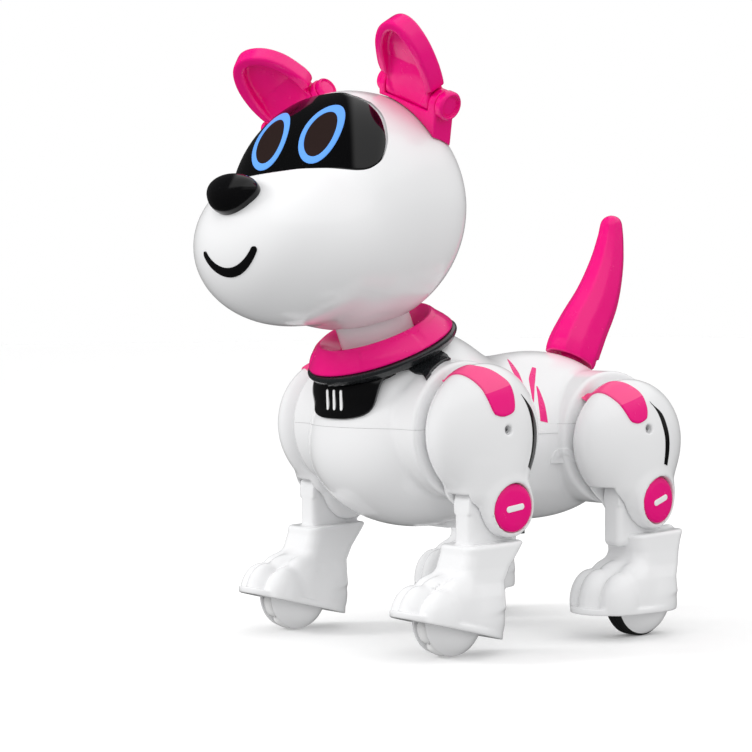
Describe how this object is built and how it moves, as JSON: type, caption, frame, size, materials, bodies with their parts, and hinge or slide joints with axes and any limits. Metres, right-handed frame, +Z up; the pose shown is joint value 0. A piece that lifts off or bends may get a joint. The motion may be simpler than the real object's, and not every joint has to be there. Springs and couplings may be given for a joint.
{
  "type": "robot dog toy",
  "caption": "Toy robot dog with gloss white shells, a pink collar, ears and tail, a black eye visor, and hinged legs that roll on wheels in the paws.",
  "frame": {"origin": "on the floor under the middle of the object's box", "axes": "+Z up, -Y forward (the way the dog's body faces), +X to the dog's left"},
  "size_m": [0.1432, 0.2344, 0.2708],
  "materials": {
    "gloss_black": "gloss black moulded plastic",
    "eye_blue": "light blue printed rings",
    "circuit_board": "green board",
    "dark_grey_plastic": "dark grey satin plastic",
    "pink_trim": "gloss pink moulded plastic",
    "rubber_tyre": "black rubber",
    "steel": "plain steel",
    "white_shell": "gloss white moulded plastic"
  },
  "bodies": {
    "torso": {"torso_upper_shell": "white_shell", "torso_lower_shell": "white_shell", "battery_door": "white_shell", "battery_door_screw": "steel", "battery_pack": "gloss_black", "main_circuit_board": "circuit_board", "speaker": "gloss_black", "front_leg_axle": "steel", "rear_leg_axle": "steel", "drive_gearbox": "white_shell", "collar_ring": "pink_trim", "collar_base": "dark_grey_plastic", "chest_badge": "gloss_black"},
    "neck": {"neck_tube": "white_shell", "head_pivot_pin": "steel"},
    "head": {"head_front_shell": "white_shell", "head_back_shell": "white_shell", "eye_visor": "gloss_black", "eye_ring_left": "eye_blue", "eye_ring_right": "eye_blue", "nose": "gloss_black", "mouth_inlay": "gloss_black", "eye_display_board": "circuit_board", "ear_base_left": "pink_trim", "ear_base_right": "pink_trim", "ear_pin_left": "pink_trim", "ear_pin_right": "pink_trim"},
    "ear_left": {"ear_flap_left": "pink_trim"},
    "ear_right": {"ear_flap_right": "pink_trim"},
    "tail_body": {"tail": "pink_trim"},
    "switch_knob": {"power_switch": "gloss_black"},
    "upper_front_left": {"upper_leg_front_left": "white_shell", "knee_pin_front_left": "pink_trim"},
    "lower_front_left": {"lower_leg_front_left": "white_shell", "wheel_axle_front_left": "steel"},
    "roll_front_left": {"wheel_front_left": "white_shell"},
    "upper_front_right": {"upper_leg_front_right": "white_shell", "knee_pin_front_right": "pink_trim"},
    "lower_front_right": {"lower_leg_front_right": "white_shell", "wheel_axle_front_right": "steel"},
    "roll_front_right": {"wheel_front_right": "white_shell"},
    "upper_rear_left": {"upper_leg_rear_left": "white_shell", "knee_pin_rear_left": "pink_trim"},
    "lower_rear_left": {"lower_leg_rear_left": "white_shell", "wheel_axle_rear_left": "steel"},
    "roll_rear_left": {"wheel_rear_left": "white_shell", "tyre_rear_left": "rubber_tyre"},
    "upper_rear_right": {"upper_leg_rear_right": "white_shell", "knee_pin_rear_right": "pink_trim"},
    "lower_rear_right": {"lower_leg_rear_right": "white_shell", "wheel_axle_rear_right": "steel"},
    "roll_rear_right": {"wheel_rear_right": "white_shell", "tyre_rear_right": "rubber_tyre"}
  },
  "joints": [
    {"name": "head_turn", "type": "hinge", "parent": "torso", "child": "neck", "pos_m": [0, -0.02672, 0.13], "axis": [0, -0.3907, 0.9205], "range_deg": [-45, 25]},
    {"name": "head_nod", "type": "hinge", "parent": "neck", "child": "head", "pos_m": [-0.00025, -0.04024, 0.16599], "axis": [0.9882, 0.1408, 0.0598], "range_deg": [-8, 8]},
    {"name": "ear_tilt_left", "type": "hinge", "parent": "head", "child": "ear_left", "pos_m": [0.02964, -0.03083, 0.23855], "axis": [0.9271, 0.1304, -0.3514], "range_deg": [-20, 30]},
    {"name": "ear_tilt_right", "type": "hinge", "parent": "head", "child": "ear_right", "pos_m": [-0.03993, -0.04074, 0.23434], "axis": [0.8785, 0.1269, 0.4606], "range_deg": [-40, 12]},
    {"name": "tail_wag", "type": "hinge", "parent": "torso", "child": "tail_body", "pos_m": [0, 0.08578, 0.117], "axis": [0, 0, 1], "range_deg": [-25, 25]},
    {"name": "power_switch_slide", "type": "slide", "parent": "torso", "child": "switch_knob", "axis": [0, 1, 0], "range_m": [-0.002, 0.002]},
    {"name": "hip_front_left", "type": "hinge", "parent": "torso", "child": "upper_front_left", "pos_m": [0.055, -0.01322, 0.094], "axis": [1, 0, 0], "range_deg": [-20, 20]},
    {"name": "knee_front_left", "type": "hinge", "parent": "upper_front_left", "child": "lower_front_left", "pos_m": [0.055, -0.00722, 0.062], "axis": [1, 0, 0], "range_deg": [-12, 18]},
    {"name": "wheel_spin_front_left", "type": "hinge", "parent": "lower_front_left", "child": "roll_front_left", "pos_m": [0.055, -0.03422, 0.016], "axis": [1, 0, 0], "continuous": true},
    {"name": "hip_front_right", "type": "hinge", "parent": "torso", "child": "upper_front_right", "pos_m": [-0.055, -0.01322, 0.094], "axis": [1, 0, 0], "range_deg": [-20, 20]},
    {"name": "knee_front_right", "type": "hinge", "parent": "upper_front_right", "child": "lower_front_right", "pos_m": [-0.055, -0.00722, 0.062], "axis": [1, 0, 0], "range_deg": [-12, 18]},
    {"name": "wheel_spin_front_right", "type": "hinge", "parent": "lower_front_right", "child": "roll_front_right", "pos_m": [-0.055, -0.03422, 0.016], "axis": [1, 0, 0], "continuous": true},
    {"name": "hip_rear_left", "type": "hinge", "parent": "torso", "child": "upper_rear_left", "pos_m": [0.055, 0.07178, 0.088], "axis": [1, 0, 0], "range_deg": [-20, 20]},
    {"name": "knee_rear_left", "type": "hinge", "parent": "upper_rear_left", "child": "lower_rear_left", "pos_m": [0.055, 0.07828, 0.061], "axis": [1, 0, 0], "range_deg": [-12, 18]},
    {"name": "wheel_spin_rear_left", "type": "hinge", "parent": "lower_rear_left", "child": "roll_rear_left", "pos_m": [0.055, 0.07578, 0.016], "axis": [1, 0, 0], "continuous": true},
    {"name": "hip_rear_right", "type": "hinge", "parent": "torso", "child": "upper_rear_right", "pos_m": [-0.055, 0.07178, 0.088], "axis": [1, 0, 0], "range_deg": [-20, 20]},
    {"name": "knee_rear_right", "type": "hinge", "parent": "upper_rear_right", "child": "lower_rear_right", "pos_m": [-0.055, 0.07828, 0.061], "axis": [1, 0, 0], "range_deg": [-12, 18]},
    {"name": "wheel_spin_rear_right", "type": "hinge", "parent": "lower_rear_right", "child": "roll_rear_right", "pos_m": [-0.055, 0.07578, 0.016], "axis": [1, 0, 0], "continuous": true}
  ]
}
